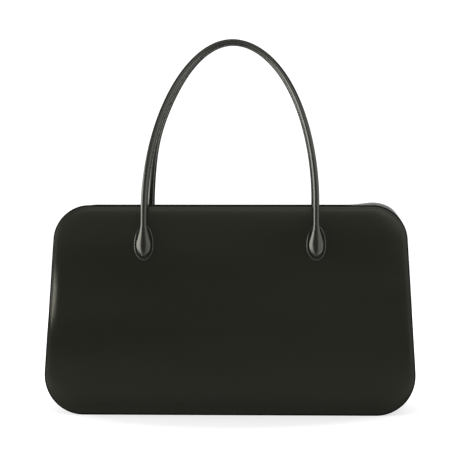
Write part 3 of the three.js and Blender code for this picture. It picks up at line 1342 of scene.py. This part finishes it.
    def stitch_places(self, ring: Ring, along: Vector) -> list[Matrix]:
        """Places of the four stitches at one ring: front and back of the fin, on both legs.

        Args:
            ring: The section of the left half of the arch.
            along: The way along the arch there.

        Returns:
            The places.
        """
        inner = Vector((math.sin(ring.turn), 0.0, -math.cos(ring.turn)))
        middle = ring.centre + inner * (ring.half_width + self.fin_height * self.seam_share)
        narrowing = 1.0 - self.fin_taper
        places = []
        for facing in (-1.0, 1.0):
            aside = Vector((0.0, facing * self.fin_half_width, 0.0))
            out = aside * self.fin_height + inner * (self.fin_half_width**2 * narrowing)
            point = middle + aside * (1.0 - self.seam_share * narrowing)
            for hand in Hand:
                mirror = Vector((-hand.value, 1.0, 1.0))
                places.append(Stitching.place(point * mirror, along * mirror, out * mirror))
        return places


@dataclass(frozen=True)
class SoftBox:
    """One rectangular studio light: its place, what it faces, its size and its power in watts."""

    name: str
    place: tuple[float, float, float]
    aim: tuple[float, float, float]
    width: float
    height: float
    power: float

    def build(self) -> None:
        """Hang the light."""
        Bench.clear()
        bpy.ops.object.light_add(type="AREA", location=self.place)
        lamp = bpy.context.object
        lamp.name = self.name
        Bench.aim(lamp, self.aim)
        lamp.data.shape = "RECTANGLE"
        lamp.data.size = self.width
        lamp.data.size_y = self.height
        lamp.data.energy = self.power


@dataclass(frozen=True)
class Studio:
    """The white studio: floor, soft boxes, dim surroundings and camera."""

    floor_size: float = 30.0
    floor_white: StudioWhite = StudioWhite()
    surround: float = 0.15
    backdrop: float = 1.2
    camera_turn: float = math.radians(2.0)
    camera_distance: float = 1.9
    camera_height: float = 0.225
    camera_aim: tuple[float, float, float] = (-0.00145, 0.0, 0.1832)
    lens: float = 145.1
    boxes: tuple[SoftBox, ...] = (
        SoftBox("left_box", (-1.3, -0.3, 0.34), (0.0, -0.3, 0.34), 1.6, 0.66, 20.0),
        SoftBox("right_box", (1.3, -0.45, 0.65), (0.0, -0.45, 0.65), 1.8, 1.28, 11.0),
        SoftBox("top_box", (0.0, 0.1, 1.5), (0.0, 0.0, 0.1), 1.6, 1.0, 3.0),
        SoftBox("front_box", (0.0, -1.3, 1.24), (0.0, 0.0, 0.2), 1.1, 0.62, 2.8),
        SoftBox("right_corner_box", (0.68, -1.34, 1.05), (0.0, 0.0, 0.3), 0.8, 0.8, 2.2),
        SoftBox("left_corner_box", (-0.68, -1.34, 1.05), (0.0, 0.0, 0.3), 0.8, 0.8, 0.5),
        SoftBox("back_floor_card", (0.35, 0.45, 0.01), (0.35, 0.45, 1.0), 0.9, 0.6, 4.0),
        SoftBox("front_floor_card", (0.2, -0.25, 0.01), (0.2, -0.25, 1.0), 1.4, 0.24, 0.6),
        SoftBox("right_strip", (0.9, -1.15, 0.27), (0.18, 0.0, 0.15), 0.3, 0.5, 0.5),
        SoftBox("right_floor_card", (0.75, 0.05, 0.01), (0.75, 0.05, 1.0), 0.9, 0.9, 4.5),
        SoftBox("left_floor_card", (-0.75, -0.45, 0.01), (-0.75, -0.45, 1.0), 0.9, 1.2, 3.5),
        SoftBox("back_box", (0.0, 1.6, 0.75), (0.0, 0.0, 0.75), 3.0, 1.4, 16.0),
    )

    def build(self) -> None:
        """Set up the floor, the surroundings and the lights."""
        Bench.clear()
        bpy.ops.mesh.primitive_plane_add(size=self.floor_size)
        floor = bpy.context.object
        floor.name = "studio_floor"
        floor.data.materials.append(self.floor_white.build())
        self.light_world()
        for box in self.boxes:
            box.build()
        bpy.context.scene.view_settings.view_transform = "Standard"

    def light_world(self) -> None:
        """Surround the bag with dim light, and show the camera a white backdrop."""
        world = bpy.data.worlds.new("studio_world")
        bpy.context.scene.world = world
        world.use_nodes = True
        tree = world.node_tree
        dim = tree.nodes["Background"]
        white = tree.nodes.new("ShaderNodeBackground")
        NodeBoard.fill(dim, Strength=self.surround, Color=WHITE)
        NodeBoard.fill(white, Strength=self.backdrop, Color=WHITE)
        path = tree.nodes.new("ShaderNodeLightPath")
        mix = tree.nodes.new("ShaderNodeMixShader")
        tree.links.new(path.outputs["Is Camera Ray"], mix.inputs["Fac"])
        tree.links.new(dim.outputs["Background"], mix.inputs[1])
        tree.links.new(white.outputs["Background"], mix.inputs[2])
        tree.links.new(mix.outputs["Shader"], tree.nodes["World Output"].inputs["Surface"])

    def aim_camera(self) -> None:
        """Place the camera almost straight in front, a little higher than the bag's top edge."""
        aside = self.camera_distance * math.sin(self.camera_turn)
        ahead = self.camera_distance * math.cos(self.camera_turn)
        Bench.clear()
        bpy.ops.object.camera_add(location=(aside, -ahead, self.camera_height))
        camera = bpy.context.object
        camera.name = "portrait_camera"
        Bench.aim(camera, self.camera_aim)
        camera.data.lens = self.lens
        bpy.context.scene.camera = camera


@dataclass(frozen=True)
class ToteBag:
    """The whole bag, piece by piece."""

    panel: Panel
    gusset: Gusset
    handle: Handle

    @classmethod
    def framed(cls) -> "ToteBag":
        """Size the bag from the frame."""
        low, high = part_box("front_panel")
        outline = Outline(
            height=high.z - low.z,
            base_half_width=187.4 * MM,
            top_half_width=176.0 * MM,
            low_radius=40.0 * MM,
            high_radius=35.5 * MM,
        )
        shape = BagShape(outline)
        panel = Panel(shape)
        tab_low, tab_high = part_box("front_right_tab")
        tab = Tab(shape, leg_x=(tab_low.x + tab_high.x) / 2)
        return cls(panel, Gusset(shape, panel.wall), Handle(shape, tab))

    def build(self, wardrobe: Wardrobe) -> None:
        """Model and dress every piece, the front first and the back as its mirrored copy."""
        front = self.panel.build()
        self.panel.dress(front, wardrobe)
        self.both_sides(front, "panel_leather", "front_panel")
        self.both_sides(self.panel.seam(wardrobe), "panel_leather")
        strip = self.gusset.build()
        self.gusset.dress(strip, wardrobe)
        Bench.hand_over(strip, "gusset_leather", "gusset")
        tab = self.handle.tab
        for hand in Hand:
            piece = tab.build(hand)
            tab.dress(piece, wardrobe)
            self.both_sides(piece, "tab_leather", f"front_{hand.name.lower()}_tab")
        handle = self.handle.build()
        self.handle.dress(handle, wardrobe)
        self.handle.bow_out(self.both_sides(handle, "handle_leather", "front_handle"))
        self.handle.bow_out(self.both_sides(self.handle.seam(wardrobe), "handle_leather"))

    @staticmethod
    def both_sides(piece: Object, slot: str, *nodes: str) -> Object:
        """Copy a front piece to the back and hand both over.

        Args:
            piece: The finished piece of the front.
            slot: The material slot of both.
            *nodes: The solid that the front piece replaces, if it does.

        Returns:
            The back's copy.
        """
        back = Bench.mirrored_copy(piece)
        Bench.hand_over(piece, slot, *nodes)
        Bench.hand_over(back, slot, *(node.replace("front", "back") for node in nodes))
        return back


def main() -> None:
    """Build the bag and its studio."""
    logging.basicConfig(level=logging.INFO, format="%(message)s")
    LOG.info("frame with %d solids", len(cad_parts))
    ToteBag.framed().build(Wardrobe.stocked())
    studio = Studio()
    studio.build()
    studio.aim_camera()


if __name__ == "__main__":
    main()
